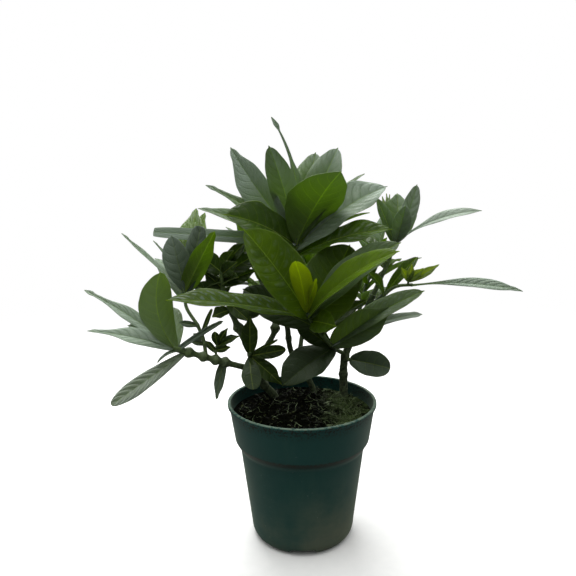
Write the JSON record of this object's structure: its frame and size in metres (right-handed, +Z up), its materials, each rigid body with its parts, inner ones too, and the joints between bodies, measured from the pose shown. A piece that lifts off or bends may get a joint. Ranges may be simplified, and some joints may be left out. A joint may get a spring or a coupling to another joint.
{
  "type": "potted gardenia",
  "caption": "Bushy evergreen shrub with glossy pointed leaves on branching stems, rooted in a tapered green nursery pot of dark potting mix.",
  "frame": {"origin": "on the ground, at the middle of the underside of the pot's foot", "axes": "+Z up along the pot's axis, +X to the right and -Y to the front of the plant as it is pictured"},
  "size_m": [0.4402, 0.242, 0.432],
  "materials": {
    "pot": "dark green moulded plastic with a soft gloss, dusty and scuffed at the lip",
    "soil": "damp dark peat with pale fibres",
    "bark": "thin grey-brown bark with fine lengthwise cracks",
    "leaf_green": "glossy leathery leaf with a pale midrib and sunken side veins",
    "leaf_bright": "glossy leathery leaf, yellow-green, with a pale midrib and sunken side veins",
    "leaf_dark": "glossy leathery leaf, dark green, with a pale midrib and sunken side veins",
    "leaf_new": "soft new leaf, pale yellow-green, with a satin surface"
  },
  "bodies": {
    "root": {"pot": "pot", "soil": "soil", "trunk_left": "bark", "trunk_middle": "bark", "trunk_right": "bark", "shoot_crown": "leaf_green", "shoot_front": "leaf_bright", "shoot_left": "leaf_green", "shoot_mid_left": "leaf_dark", "shoot_far_left": "leaf_bright", "twig_low_left": "leaf_dark", "twig_left": "leaf_dark", "twig_low_right": "leaf_dark", "shoot_right": "leaf_green", "shoot_low_right": "leaf_green", "shoot_back_left": "leaf_green", "shoot_back": "leaf_green", "shoot_back_right": "leaf_green", "new_growth_front": "leaf_new", "new_growth_right": "leaf_new", "new_growth_low_right": "leaf_new"}
  },
  "joints": []
}
